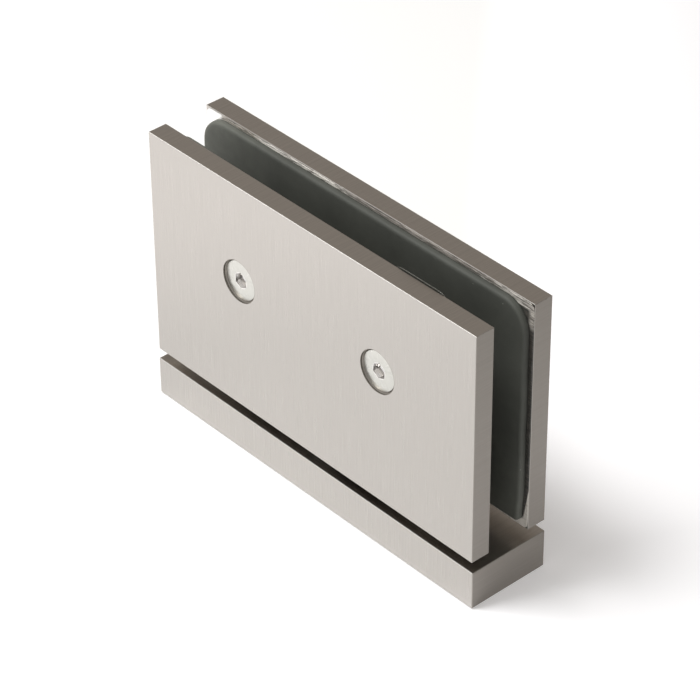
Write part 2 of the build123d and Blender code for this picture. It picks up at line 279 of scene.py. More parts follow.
def brushed_nickel(name, edge_highlight_tone, top_finish, bores=()):
    """Satin nickel over straight brushing: a soft, streaked shine, drawn out across the
    brush marks. The broken edges along the top carry a painted highlight and the upright
    ones a painted shade. The ends carry a painted shade, and ends and tops a painted warm
    reflection tint. Faces that look up or down have their own shade and roughness. Bores
    carry a painted shade: each is its x, z and radius."""
    material = bpy.data.materials.new(name)
    tree = empty_tree(material)
    place = add(tree, "ShaderNodeTexCoord").outputs
    facing = add(tree, "ShaderNodeVectorMath", {0: place["Normal"]}, operation="ABSOLUTE")
    turned = add(tree, "ShaderNodeSeparateXYZ", {0: facing}).outputs
    wide = add(tree, "ShaderNodeMath", {0: turned["Y"], 1: turned["Z"]})
    narrow = add(tree, "ShaderNodeMath", {0: turned["X"], 1: turned["Z"]})
    across = add(tree, "ShaderNodeCombineXYZ", {0: wide, 2: turned["X"]})
    along = add(tree, "ShaderNodeCombineXYZ", {1: narrow, 2: turned["Y"]})
    lines = add(tree, "ShaderNodeCombineXYZ")
    for axis, direction, spacing in ((0, across, brush_spacing), (1, along, brush_length)):
        reach = add(
            tree,
            "ShaderNodeVectorMath",
            {0: place["Object"], 1: direction},
            operation="DOT_PRODUCT",
        )
        fine = add(
            tree,
            "ShaderNodeMath",
            {0: reach.outputs["Value"], 1: 1 / spacing},
            operation="MULTIPLY",
        )
        join(tree, lines, {axis: fine})
    brush = add(
        tree, "ShaderNodeTexNoise", {"Vector": lines, "Scale": 1.0, "Detail": 3.0, "Roughness": 0.6}
    )
    off_middle = add(tree, "ShaderNodeMath", {0: brush, 1: 0.5}, operation="SUBTRACT")
    marked = add(
        tree, "ShaderNodeMath", {0: turned["Z"], 1: top_marks, 2: 1.0}, operation="MULTIPLY_ADD"
    )
    streaked = add(
        tree, "ShaderNodeMath", {0: off_middle, 1: marked, 2: 0.5}, operation="MULTIPLY_ADD"
    )
    plated = add(
        tree,
        "ShaderNodeMix",
        {0: streaked, 6: linear(nickel_streak), 7: linear(nickel_bright)},
        data_type="RGBA",
    )
    warmed = add(
        tree,
        "ShaderNodeMix",
        {0: 1.0, 6: plated.outputs[2], 7: linear(painted_reflection_tint)},
        data_type="RGBA",
        blend_type="MULTIPLY",
    )
    faced = add(
        tree,
        "ShaderNodeMix",
        {0: turned["Y"], 6: warmed.outputs[2], 7: plated.outputs[2]},
        data_type="RGBA",
    )
    squarer = add(tree, "ShaderNodeMath", {0: turned["X"], 1: turned["Y"]}, operation="MAXIMUM")
    squarest = add(tree, "ShaderNodeMath", {0: squarer, 1: turned["Z"]}, operation="MAXIMUM")
    broken_edge = add(
        tree, "ShaderNodeMapRange", {0: squarest, 1: face_squareness, 2: edge_squareness}
    )
    weighed = add(
        tree,
        "ShaderNodeVectorMath",
        {0: facing, 1: (end_shade, 1.0, top_finish[0])},
        operation="DOT_PRODUCT",
    )
    shade = add(tree, "ShaderNodeMath", {0: weighed.outputs["Value"], 1: 1.0}, operation="MINIMUM")
    shaded = add(
        tree, "ShaderNodeVectorMath", {0: faced.outputs[2], "Scale": shade}, operation="SCALE"
    )
    sideways = add(
        tree, "ShaderNodeMapRange", {0: turned["X"], 1: edge_top_sideways, 2: edge_upright_sideways}
    )
    edge = add(
        tree,
        "ShaderNodeMix",
        {0: sideways, 6: linear(edge_highlight_tone), 7: linear(edge_painted_shade)},
        data_type="RGBA",
    )
    colour = add(
        tree, "ShaderNodeMix", {0: broken_edge, 6: shaded, 7: edge.outputs[2]}, data_type="RGBA"
    ).outputs[2]
    satin = add(
        tree,
        "ShaderNodeVectorMath",
        {0: facing, 1: (end_roughness, show_roughness, top_finish[1])},
        operation="DOT_PRODUCT",
    )
    swing = add(
        tree, "ShaderNodeVectorMath", {0: facing, 1: roughness_play}, operation="DOT_PRODUCT"
    )
    streak = add(
        tree, "ShaderNodeMapRange", {0: brush, 1: noise_low, 2: noise_high, 3: 1.0, 4: -1.0}
    )
    play = add(tree, "ShaderNodeMath", {0: streak, 1: swing.outputs["Value"]}, operation="MULTIPLY")
    rough = add(tree, "ShaderNodeMath", {0: satin.outputs["Value"], 1: play})
    for x, z, radius in bores:
        flat = add(
            tree, "ShaderNodeVectorMath", {0: place["Object"], 1: (1, 0, 1)}, operation="MULTIPLY"
        )
        reach = add(tree, "ShaderNodeVectorMath", {0: flat, 1: (x, 0, z)}, operation="DISTANCE")
        inside = add(
            tree,
            "ShaderNodeMath",
            {0: reach.outputs["Value"], 1: radius + bore_margin},
            operation="LESS_THAN",
        )
        colour = add(
            tree, "ShaderNodeMix", {0: inside, 6: colour, 7: linear(bore_painted_shade)}, data_type="RGBA"
        ).outputs[2]
    spread = add(
        tree,
        "ShaderNodeVectorTransform",
        {0: across},
        vector_type="VECTOR",
        convert_from="OBJECT",
        convert_to="WORLD",
    )
    grain = {"Anisotropic": nickel_grain, "Tangent": spread}
    surface(tree, colour, rough, brush, brush_relief, brush_depth, **grain)
    return material


def dress(material, *names):
    """Gives these CAD nodes their material."""
    for name in names:
        for held in nodes[name].material_slots:
            held.material = material


dress(brushed_nickel("satin_nickel_base", edge_painted_highlight, base_top_finish), "base_plate")

# Pivot pin, plungers, bushes and thrust washer
# The pin and the plungers are ground stainless steel, the bushes sintered bronze, and
# the washer turned black acetal. All of them keep the rings that turning leaves.
ground_steel = "C4C3BF"
ground_steel_dark = "A9A8A4"
bronze = "B5854C"
bronze_dark = "7C5830"
acetal_black = "121212"
acetal_worn = "1F1F1E"
# Drawn coarser than real feed marks, which are too fine to show.
turned_spacing = 0.00009
turned_wander = 0.004
turned_depth = 0.00003
turned_play = 0.15


def turned_finish(
    name, light, dark, roughness, relief, metallic=1.0, centre=(0, 0, 0), axis=(0, 0, 1)
):
    """A turned or ground surface: fine rings round an axis, which draw the shine out
    into a band along the piece."""
    material = bpy.data.materials.new(name)
    tree = empty_tree(material)
    place = add(tree, "ShaderNodeTexCoord").outputs
    arm = add(tree, "ShaderNodeVectorMath", {0: place["Object"], 1: centre}, operation="SUBTRACT")
    run = add(tree, "ShaderNodeVectorMath", {0: arm, 1: axis}, operation="DOT_PRODUCT")
    foot = add(
        tree,
        "ShaderNodeVectorMath",
        {0: Vector(axis), "Scale": run.outputs["Value"]},
        operation="SCALE",
    )
    out = add(tree, "ShaderNodeVectorMath", {0: arm, 1: foot}, operation="DISTANCE")
    both_ways = add(tree, "ShaderNodeMath", {0: run.outputs["Value"], 1: out.outputs["Value"]})
    fine = add(tree, "ShaderNodeMath", {0: both_ways, 1: 1 / turned_spacing}, operation="MULTIPLY")
    slow = add(
        tree, "ShaderNodeVectorMath", {0: arm, "Scale": 1 / turned_wander}, operation="SCALE"
    )
    shift = add(tree, "ShaderNodeCombineXYZ", {0: fine})
    spot = add(tree, "ShaderNodeVectorMath", {0: slow, 1: shift})
    rings = add(
        tree, "ShaderNodeTexNoise", {"Vector": spot, "Scale": 1.0, "Detail": 2.0, "Roughness": 0.5}
    )
    colour = add(
        tree, "ShaderNodeMix", {0: rings, 6: linear(dark), 7: linear(light)}, data_type="RGBA"
    )
    rough = add(
        tree,
        "ShaderNodeMapRange",
        {
            0: rings,
            1: noise_low,
            2: noise_high,
            3: roughness * (1 + turned_play),
            4: roughness * (1 - turned_play),
        },
    )
    surface(tree, colour.outputs[2], rough, rings, relief, turned_depth, metallic)
    return material


def middle(name):
    """The middle of a node's box, in metres."""
    low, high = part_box(name)
    return (Vector(low) + Vector(high)) / 2


# Ground steel is a cool, even grey with a close shine.
pin_steel = turned_finish(
    "ground_pin_steel", ground_steel, ground_steel_dark, roughness=0.22, relief=0.05
)
dress(pin_steel, "pivot_pin")
plunger_steel = turned_finish(
    "ground_plunger_steel",
    ground_steel,
    ground_steel_dark,
    roughness=0.25,
    relief=0.05,
    centre=(0, 0, middle("plunger_left").z),
    axis=(1, 0, 0),
)
dress(plunger_steel, "plunger_left", "plunger_right")
# Sintered bronze is brown, porous and dull.
bush_bronze = turned_finish("sintered_bronze", bronze, bronze_dark, roughness=0.42, relief=0.12)
dress(bush_bronze, "lower_bush", "upper_bush")
# Acetal is a waxy black, greyer on the rings that the tool left.
washer_acetal = turned_finish(
    "black_acetal", acetal_worn, acetal_black, roughness=0.38, relief=0.1, metallic=0.0
)
dress(washer_acetal, "thrust_washer")

# Pivot block
# Brass, sawn from bar, fly-cut on its faces and nickel plated, so wide arcs of tool
# marks cross it.
block_light = "C9C4B6"
block_dark = "A59F90"
# Drawn coarser than real feed marks, so that they show.
arc_spacing = 0.0006
arc_centre = (0.045, 0, -0.02)
arc_relief = 0.1
arc_depth = 0.00002
arc_share = (0.2, 0.5)
grime_size = 0.00238
block_roughness = (0.29, 0.41)


def fly_cut_plate(name):
    """Plated brass: a warm grey shine in the wide arcs that a fly cutter leaves, with
    dull patches."""
    material = bpy.data.materials.new(name)
    tree = empty_tree(material)
    place = add(tree, "ShaderNodeTexCoord").outputs
    reach = add(
        tree, "ShaderNodeVectorMath", {0: place["Object"], 1: arc_centre}, operation="DISTANCE"
    )
    turns = add(
        tree,
        "ShaderNodeMath",
        {0: reach.outputs["Value"], 1: 2 * math.pi / arc_spacing},
        operation="MULTIPLY",
    )
    wave = add(tree, "ShaderNodeMath", {0: turns}, operation="SINE")
    grime = add(
        tree,
        "ShaderNodeTexNoise",
        {"Vector": place["Object"], "Scale": 1 / grime_size, "Detail": 4.0, "Roughness": 0.55},
    )
    mixed = add(tree, "ShaderNodeMapRange", {0: wave, 1: -1.0, 3: arc_share[0], 4: arc_share[1]})
    tone = add(tree, "ShaderNodeMath", {0: mixed, 1: grime}, use_clamp=True)
    colour = add(
        tree,
        "ShaderNodeMix",
        {0: tone, 6: linear(block_dark), 7: linear(block_light)},
        data_type="RGBA",
    )
    rough = add(
        tree,
        "ShaderNodeMapRange",
        {0: grime, 1: noise_low, 2: noise_high, 3: block_roughness[0], 4: block_roughness[1]},
    )
    surface(tree, colour.outputs[2], rough, wave, arc_relief, arc_depth)
    return material


dress(fly_cut_plate("plated_brass"), "pivot_block")

# Springs, plugs and lock screw
# Springs wound from square stainless wire stand between the plungers and two headless
# plugs. The plugs and the lock screw of the pin are turned stainless steel with hex
# sockets.
wire_grey = "9C9A95"
wire_dark = "6F6D69"
wire_thickness = 0.00056
spring_turns = 2.5
points_per_turn = 48
screw_light = "D8D7D2"
screw_dark = "BFBEB9"
smooth_angle = math.radians(32)
# Drawn wire is a darker grey, with the die's lines in it.
spring_wire_steel = turned_finish(
    "drawn_spring_wire",
    wire_grey,
    wire_dark,
    roughness=0.33,
    relief=0.08,
    centre=(0, 0, middle("spring_left").z),
    axis=(1, 0, 0),
)


def sized_tree(name, sizes):
    """A new tree for a mesh, with its place and sizes as named inputs, and these inputs."""
    group = bpy.data.node_groups.new(name, "GeometryNodeTree")
    group.interface.new_socket("Place", in_out="INPUT", socket_type="NodeSocketVector")
    for size in sizes:
        group.interface.new_socket(size, in_out="INPUT", socket_type="NodeSocketFloat")
    group.interface.new_socket("Geometry", in_out="OUTPUT", socket_type="NodeSocketGeometry")
    return group, add(group, "NodeGroupInput").outputs


def end_tree(group, geometry, material):
    """Ends a tree with its shape made real and given its material."""
    real = add(group, "GeometryNodeRealizeInstances", {"Geometry": geometry})
    dressed = add(group, "GeometryNodeSetMaterial", {"Geometry": real, "Material": material})
    add(group, "NodeGroupOutput", {"Geometry": dressed})
    return group


def wound_spring_tree(name, material):
    """A spring of square wire, wound round X. One end lies at the place given."""
    group, given = sized_tree(name, ("Rise", "Coil Radius", "Wire Thickness", "Turns"))
    winding = add(
        group,
        "GeometryNodeCurveSpiral",
        {
            "Resolution": points_per_turn,
            "Rotations": given["Turns"],
            "Start Radius": given["Coil Radius"],
            "End Radius": given["Coil Radius"],
            "Height": given["Rise"],
        },
    )
    level = add(group, "GeometryNodeSetCurveNormal", {"Curve": winding}, mode="Z_UP")
    section = add(
        group,
        "GeometryNodeCurvePrimitiveQuadrilateral",
        {"Width": given["Wire Thickness"], "Height": given["Wire Thickness"]},
    )
    wire = add(
        group,
        "GeometryNodeCurveToMesh",
        {"Curve": level, "Profile Curve": section, "Fill Caps": True},
    )
    laid = add(
        group,
        "GeometryNodeTransform",
        {"Geometry": wire, "Translation": given["Place"], "Rotation": (0, math.pi / 2, 0)},
    )
    return end_tree(group, laid, material)


def grown(name, group, sizes):
    """A plain mesh object from a node tree and its named sizes."""
    piece = bpy.data.objects.new(name, bpy.data.meshes.new(name))
    bpy.context.collection.objects.link(piece)
    maker = piece.modifiers.new(name, "NODES")
    maker.node_group = group
    for socket in group.interface.items_tree:
        if socket.in_out == "INPUT" and socket.name in sizes:
            maker[socket.identifier] = sizes[socket.name]
    seen = piece.evaluated_get(bpy.context.evaluated_depsgraph_get())
    finished = bpy.data.meshes.new_from_object(seen)
    piece.modifiers.remove(maker)
    finished.name = name
    finished.polygons.foreach_set("use_smooth", [True] * len(finished.polygons))
    finished.set_sharp_from_angle(angle=smooth_angle)
    piece.data = finished
    return piece


wound_spring = wound_spring_tree("wound_spring", spring_wire_steel)
for side in ("left", "right"):
    low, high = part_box("spring_" + side)
    spring = grown(
        "wound_spring_" + side,
        wound_spring,
        {
            "Place": (low[0] + wire_thickness / 2, 0, middle("spring_" + side).z),
            "Rise": high[0] - low[0] - wire_thickness,
            "Coil Radius": (high[2] - low[2] - wire_thickness) / 2,
            "Wire Thickness": wire_thickness,
            "Turns": spring_turns,
        },
    )
    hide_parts("spring_" + side)
    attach(spring, "clamp")
    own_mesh(spring)
# Turned stainless steel is bright, with plain rings on its faces.
plug_steel = turned_finish(
    "turned_plug_steel",
    screw_light,
    screw_dark,
    roughness=0.3,
    relief=0.06,
    centre=(0, 0, middle("spring_plug_left").z),
    axis=(1, 0, 0),
)
dress(plug_steel, "spring_plug_left", "spring_plug_right")
lock_steel = turned_finish(
    "turned_lock_screw_steel",
    screw_light,
    screw_dark,
    roughness=0.3,
    relief=0.06,
    centre=middle("pin_lock_screw"),
    axis=(0, 1, 0),
)
dress(lock_steel, "pin_lock_screw")

# Clamp plates
# Two bars like the base, brushed upward on their wide faces. The front one has two
# deep sunk holes for the clamp screws, whose walls carry a painted shade.
# Painted highlights on the plates' top edges, brighter on the front plate.
front_edge_painted_highlight = "EEEBE6"
rear_edge_painted_highlight = "B4B1AC"
clamp_top_finish = (1.0, 0.4)
recess_clearance = 0.00035
bores = []
for name in ("clamp_screw_left", "clamp_screw_right"):
    low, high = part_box(name)
    head_radius = (high[0] - low[0]) / 2
    bores.append((middle(name).x, middle(name).z, head_radius + recess_clearance))
dress(brushed_nickel("satin_nickel_rear", rear_edge_painted_highlight, clamp_top_finish), "rear_plate")
dress(
    brushed_nickel("satin_nickel_bored", front_edge_painted_highlight, clamp_top_finish, bores), "front_plate"
)

# Clamp screws and block screws
# Turned stainless screws with flat heads and hex sockets. Two hold the front plate on
# the block, and two smaller ones hold the block on the rear plate.
screw_segments = 96
rows_per_thread = 8
# As a share of the pitch.
thread_height = 0.6
socket_cone = 0.0006
socket_floor_step = 0.0002
head_edge_round = 0.00002
tip_chamfer = 0.0005
merge_distance = 1e-6
clamp_sizes = {
    "Head Rim": 0.00025,
    "Shank Radius": 0.0025,
    "Key Width": 0.003,
    "Key Depth": 0.0019,
    "Thread Pitch": 0.0008,
}
block_sizes = {
    "Head Rim": 0.0002,
    "Shank Radius": 0.002,
    "Key Width": 0.0025,
    "Key Depth": 0.0014,
    "Key Turn": 0.0,
    "Thread Pitch": 0.0007,
}
scratch_light = "DCDCD8"
scratch_dark = "BDBCB7"
# Painted light inside the socket.
socket_painted_light = "E2E0DE"
socket_roughness = 0.2
# Drawn coarser than real scratches. Their spacing is the one at this reach.
scratch_spacing = 0.0001
scratch_reach = 0.0026
scratch_length = 0.0022
scratch_relief = 0.08
scratch_depth = 0.00003
head_roughness = (0.36, 0.26)
hexagon_reach = 1 / math.cos(math.pi / 6)


def scratched_screw_steel(name):
    """Satin stainless steel, grey with short scratches that run out from the screw's
    axis, and smoother in the socket, whose colour is painted lighter to stand in for light
    reaching into it."""
    material = bpy.data.materials.new(name)
    tree = empty_tree(material)
    turned = add(tree, "ShaderNodeAttribute", attribute_name="from_axis")
    flat = add(
        tree,
        "ShaderNodeVectorMath",
        {0: turned.outputs["Vector"], 1: (1, 0, 1)},
        operation="MULTIPLY",
    )
    ray = add(tree, "ShaderNodeVectorMath", {0: flat}, operation="NORMALIZE")
    reach = add(tree, "ShaderNodeVectorMath", {0: flat}, operation="LENGTH")
    fan = add(
        tree,
        "ShaderNodeVectorMath",
        {0: ray, "Scale": scratch_reach / scratch_spacing},
        operation="SCALE",
    )
    along = add(
        tree,
        "ShaderNodeMath",
        {0: reach.outputs["Value"], 1: 1 / scratch_length},
        operation="MULTIPLY",
    )
    sweep = add(tree, "ShaderNodeCombineXYZ", {1: along})
    spot = add(tree, "ShaderNodeVectorMath", {0: fan, 1: sweep})
    scratches = add(
        tree, "ShaderNodeTexNoise", {"Vector": spot, "Scale": 1.0, "Detail": 3.0, "Roughness": 0.6}
    )
    colour = add(
        tree,
        "ShaderNodeMix",
        {0: scratches, 6: linear(scratch_dark), 7: linear(scratch_light)},
        data_type="RGBA",
    )
    rough = add(
        tree,
        "ShaderNodeMapRange",
        {0: scratches, 1: noise_low, 2: noise_high, 3: head_roughness[0], 4: head_roughness[1]},
    )
    in_socket = add(
        tree,
        "ShaderNodeMath",
        {0: reach.outputs["Value"], 1: clamp_sizes["Key Width"] / 2 * hexagon_reach},
        operation="LESS_THAN",
    )
    painted_socket = add(
        tree,
        "ShaderNodeMix",
        {0: in_socket, 6: colour.outputs[2], 7: linear(socket_painted_light)},
        data_type="RGBA",
    )
    smoother = add(
        tree, "ShaderNodeMix", {0: in_socket, 2: rough, 3: socket_roughness}, data_type="FLOAT"
    )
    surface(tree, painted_socket.outputs[2], smoother, scratches, scratch_relief, scratch_depth)
    return material


def flat_head_screw_tree(name, material):
    """A flat-head socket screw. Its head lies at the place given and looks along -Y."""
    screw_sizes = ("Head Radius", "Head Rim", "Shank Radius", "Length", "Thread Pitch")
    key_sizes = ("Key Width", "Key Depth", "Key Turn")
    group, given = sized_tree(name, screw_sizes + key_sizes)
    here = add(group, "GeometryNodeInputPosition")
    spot = add(group, "ShaderNodeSeparateXYZ", {0: here}).outputs
    known = {**dict(given.items()), "X": spot["X"], "Y": spot["Y"]}
    # Each row works out a size from two that are known already, or plain numbers.
    for made, first, operation, second in (
        # The socket and the head
        ("half key", "Key Width", "MULTIPLY", 0.5),
        ("key corner", "Key Width", "MULTIPLY", 0.5 * hexagon_reach),
        ("cone end", "Key Depth", "ADD", socket_cone),
        ("floor edge", "half key", "SUBTRACT", socket_floor_step),
        ("wall foot", "Key Depth", "SUBTRACT", socket_floor_step),
        ("socket rim", "key corner", "ADD", head_edge_round),
        ("face end", "Head Radius", "SUBTRACT", 3 * head_edge_round),
        ("rim start", "Head Radius", "SUBTRACT", head_edge_round),
        ("cone reach", "Head Rim", "ADD", "Head Radius"),
        ("neck", "cone reach", "SUBTRACT", "Shank Radius"),
        ("thread end", "Length", "SUBTRACT", tip_chamfer),
        ("tip radius", "Shank Radius", "SUBTRACT", tip_chamfer),
        # Along the rows of a sheet, and round the axis
        ("row share", "X", "ADD", 0.5),
        ("turn share", "Y", "ADD", 0.5),
        ("way round", "turn share", "MULTIPLY", 2 * math.pi),
        ("angle", "way round", "ADD", "Key Turn"),
        ("cosine", "angle", "COSINE", 0.0),
        ("sine", "angle", "SINE", 0.0),
        # How far a hexagon's side stands out past its middle
        ("sixths", "turn share", "MULTIPLY", 6.0),
        ("sixth", "sixths", "FRACT", 0.0),
        ("off middle", "sixth", "SUBTRACT", 0.5),
        ("off angle", "off middle", "MULTIPLY", math.pi / 3),
        ("flat share", "off angle", "COSINE", 0.0),
        ("corner share", 1.0, "DIVIDE", "flat share"),
        ("corner reach", "corner share", "SUBTRACT", 1.0),
        # The thread, which fades over one pitch at both ends
        ("thread length", "thread end", "SUBTRACT", "neck"),
        ("run", "thread length", "MULTIPLY", "row share"),
        ("depth", "run", "ADD", "neck"),
        ("pitches", "depth", "DIVIDE", "Thread Pitch"),
        ("twist", "angle", "DIVIDE", 2 * math.pi),
        ("turns", "pitches", "ADD", "twist"),
        ("turned", "turns", "MULTIPLY", 2 * math.pi),
        ("wave", "turned", "COSINE", 0.0),
        ("trough", 1.0, "SUBTRACT", "wave"),
        ("hollow", "trough", "MULTIPLY", 0.5),
        ("start", "run", "DIVIDE", "Thread Pitch"),
        ("left", "thread end", "SUBTRACT", "depth"),
        ("end", "left", "DIVIDE", "Thread Pitch"),
        ("faded", "start", "MULTIPLY", "end"),
        ("tooth", "Thread Pitch", "MULTIPLY", thread_height),
        ("deepest", "tooth", "MULTIPLY", "hollow"),
        ("cut", "deepest", "MULTIPLY", "faded"),
        ("thread radius", "Shank Radius", "SUBTRACT", "cut"),
        ("threads", "thread length", "DIVIDE", "Thread Pitch"),
        ("rows", "threads", "MULTIPLY", rows_per_thread),
        ("shank rows", "rows", "ADD", 2.0),
    ):
        known[made] = add(
            group,
            "ShaderNodeMath",
            {0: known.get(first, first), 1: known.get(second, second)},
            operation=operation,
            use_clamp=made in ("start", "end"),
        )

    def wrapped(row_count, radius, depth):
        """A sheet of rows, wrapped round the screw's axis."""
        sheet = add(
            group,
            "GeometryNodeMeshGrid",
            {
                "Size X": 1.0,
                "Size Y": 1.0,
                "Vertices X": row_count,
                "Vertices Y": screw_segments + 1,
            },
        )
        turned = add(group, "ShaderNodeCombineXYZ", {1: depth})
        for axis, part in ((0, "cosine"), (2, "sine")):
            out = add(group, "ShaderNodeMath", {0: radius, 1: known[part]}, operation="MULTIPLY")
            join(group, turned, {axis: out})
        return add(group, "GeometryNodeSetPosition", {"Geometry": sheet, "Position": turned})

    def ringed(rings):
        """A sheet through rings, each a radius, a depth and how six-sided it is."""
        share = add(
            group,
            "ShaderNodeMath",
            {0: known["row share"], 1: len(rings) - 1.0},
            operation="MULTIPLY",
        )
        row = add(group, "ShaderNodeMath", {0: share}, operation="ROUND")
        picked = []
        for sizes in zip(*rings):
            choice = add(group, "GeometryNodeIndexSwitch", data_type="FLOAT")
            while len(choice.index_switch_items) < len(sizes):
                choice.index_switch_items.new()
            join(group, choice, {"Index": row})
            for place, size in enumerate(sizes, 1):
                join(group, choice, {place: known.get(size, size)})
            picked.append(choice)
        bare, depth, six_sided = picked
        stretch = add(
            group,
            "ShaderNodeMath",
            {0: known["corner reach"], 1: six_sided, 2: 1.0},
            operation="MULTIPLY_ADD",
        )
        radius = add(group, "ShaderNodeMath", {0: bare, 1: stretch}, operation="MULTIPLY")
        return wrapped(len(rings), radius, depth)

    head = ringed(
        (
            (0.0, "cone end", 0.0),
            ("floor edge", "Key Depth", 1.0),
            ("half key", "wall foot", 1.0),
            ("half key", head_edge_round, 1.0),
            ("socket rim", 0.0, 0.0),
            ("face end", 0.0, 0.0),
            ("rim start", head_edge_round, 0.0),
            ("Head Radius", 3 * head_edge_round, 0.0),
            ("Head Radius", "Head Rim", 0.0),
            ("Shank Radius", "neck", 0.0),
        ),
    )
    shank = wrapped(known["shank rows"], known["thread radius"], known["depth"])
    tip = ringed(
        (("Shank Radius", "thread end", 0.0), ("tip radius", "Length", 0.0), (0.0, "Length", 0.0))
    )
    whole = add(group, "GeometryNodeJoinGeometry")
    for part in (head, shank, tip):
        join(group, whole, {0: part})
    closed = add(
        group, "GeometryNodeMergeByDistance", {"Geometry": whole, "Distance": merge_distance}
    )
    marked = add(
        group,
        "GeometryNodeStoreNamedAttribute",
        {"Geometry": closed, "Name": "from_axis", "Value": here},
        data_type="FLOAT_VECTOR",
        domain="POINT",
    )
    seated = add(group, "GeometryNodeSetPosition", {"Geometry": marked, "Offset": given["Place"]})
    return end_tree(group, seated, material)


screw_steel = scratched_screw_steel("scratched_screw_steel")
flat_head_screw = flat_head_screw_tree("flat_head_screw", screw_steel)
for name, sizes in (
    ("clamp_screw_left", {**clamp_sizes, "Key Turn": math.radians(30)}),
    ("clamp_screw_right", {**clamp_sizes, "Key Turn": math.radians(25)}),
    ("block_screw_left", block_sizes),
    ("block_screw_right", block_sizes),
):
    low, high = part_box(name)
    centre = middle(name)
    screw = grown(
        "threaded_" + name,
        flat_head_screw,
        {
            **sizes,
            "Place": (centre.x, low[1], centre.z),
            "Head Radius": (high[0] - low[0]) / 2,
            "Length": high[1] - low[1],
        },
    )
    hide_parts(name)
    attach(screw, "clamp")

# Gaskets
# Sheets of dark rubber, die cut and stuck on the plates' inner faces. Their cut edges
# are rounded and slightly wavy, the rear one is drawn in at its lower right corner, and
# the front one has come loose at its upper left corner.
gasket_corner = 0.006
loose_corner = 0.004
gasket_foot_corner = 0.001
notch_corner = 0.0065
outline_step = 0.0006
least_corner_steps = 6
edge_wave = 0.00008
edge_wave_length = 0.009
gasket_edge = (
    (0.0, 0.0),
    (0.0, 0.3),
    (0.00003, 0.6),
    (0.00012, 0.8),
    (0.0003, 0.92),
    (0.00055, 0.98),
    (0.00085, 1.0),
)
rear_left_overreach = 0.0008
rear_right_overreach = 0.0002
drawn_in = 0.0004
drawn_in_from = 0.035
drawn_in_height = 0.008
notch_gap = 0.0005
front_lift = 0.0007
front_lift_end = 0.0145
front_lift_fade = 0.007
rubber_dark = "3C3E39"
rubber_light = "4F514B"
# Painted sheen on the rubber, to the left and at the foot.
rubber_painted_sheen = "83857C"
dust_pale = "9A9A93"
# Where the painted sheen begins, where it is fullest, and how strong it is there.
sheen_to_left = (-0.022, -0.044, 0.75)
sheen_to_foot = (0.036, 0.012, 0.35)
mottle_size = 0.00625
# Drawn coarser than real moulding grain, so that it shows.
rubber_grain_size = 0.000417
rubber_relief = 0.25
rubber_depth = 0.00005
rubber_roughness = 0.7
dust_spacing = 0.0035
dust_radius = 0.00009


def notch_outline(low, high, notch_half, notch_top, left_corner, right_corner):
    """Points round a plate's sheet with the block's notch in it, as (x, z)."""
    left, right = low[0], high[0]
    bottom, top = low[2], high[2]
    corners = (
        (left, bottom, gasket_foot_corner),
        (left, top, left_corner),
        (right, top, right_corner),
        (right, bottom, gasket_foot_corner),
        (notch_half, bottom, 0.0),
        (notch_half, notch_top, notch_corner),
        (-notch_half, notch_top, notch_corner),
        (-notch_half, bottom, 0.0),
    )
    outline = []
    for place, (x, z, radius) in enumerate(corners):
        here = Vector((x, z))
        before = Vector(corners[place - 1][:2])
        after = Vector(corners[(place + 1) % len(corners)][:2])
        back = (before - here).normalized()
        ahead = (after - here).normalized()
        if radius == 0:
            outline.append(here)
            continue
        centre = here + (back + ahead) * radius
        start = here + back * radius - centre
        end = here + ahead * radius - centre
        steps = max(least_corner_steps, round(radius * math.pi / 2 / outline_step))
        for step in range(steps + 1):
            turn = math.pi / 2 * step / steps
            outline.append(centre + end * math.sin(turn) + start * math.cos(turn))
    spaced = []
    for place, point in enumerate(outline):
        after = outline[(place + 1) % len(outline)]
        run = (after - point).length
        parts = max(1, round(run / outline_step))
        for part in range(parts):
            spaced.append(point.lerp(after, part / parts))
    return spaced


def outward(outline, place):
    """The outward direction at a point of an outline that runs clockwise."""
    ahead = (outline[(place + 1) % len(outline)] - outline[place - 1]).normalized()
    return Vector((-ahead.y, ahead.x))


def sheet_on_plate(name, outline, edge, plate_y, free_y, lift):
    """A closed sheet, its edge turned by (inset, share of thickness) steps, and lift
    the distance that a point of its outline moves out of its face."""
    points = []
    count = len(outline)
    for inset, share in edge:
        y = plate_y + share * (free_y - plate_y)
        for place, point in enumerate(outline):
            moved = point - outward(outline, place) * inset
            points.append((moved.x, y + lift(moved, inset), moved.y))
    faces = []
    for row in range(len(edge) - 1):
        for place in range(count):
            after = (place + 1) % count
            start = row * count
            near, far = start + place, start + after
            faces.append((near, far, count + far, count + near))
    faces.append(tuple(range(count)))
    faces.append(tuple(range((len(edge) - 1) * count, len(edge) * count)))
    mesh = bpy.data.meshes.new(name)
    mesh.from_pydata(points, [], faces)
    shape = bmesh.new()
    shape.from_mesh(mesh)
    bmesh.ops.recalc_face_normals(shape, faces=shape.faces)
    shape.to_mesh(mesh)
    shape.free()
    mesh.polygons.foreach_set("use_smooth", [len(face.vertices) == 4 for face in mesh.polygons])
    piece = bpy.data.objects.new(name, mesh)
    bpy.context.collection.objects.link(piece)
    return piece


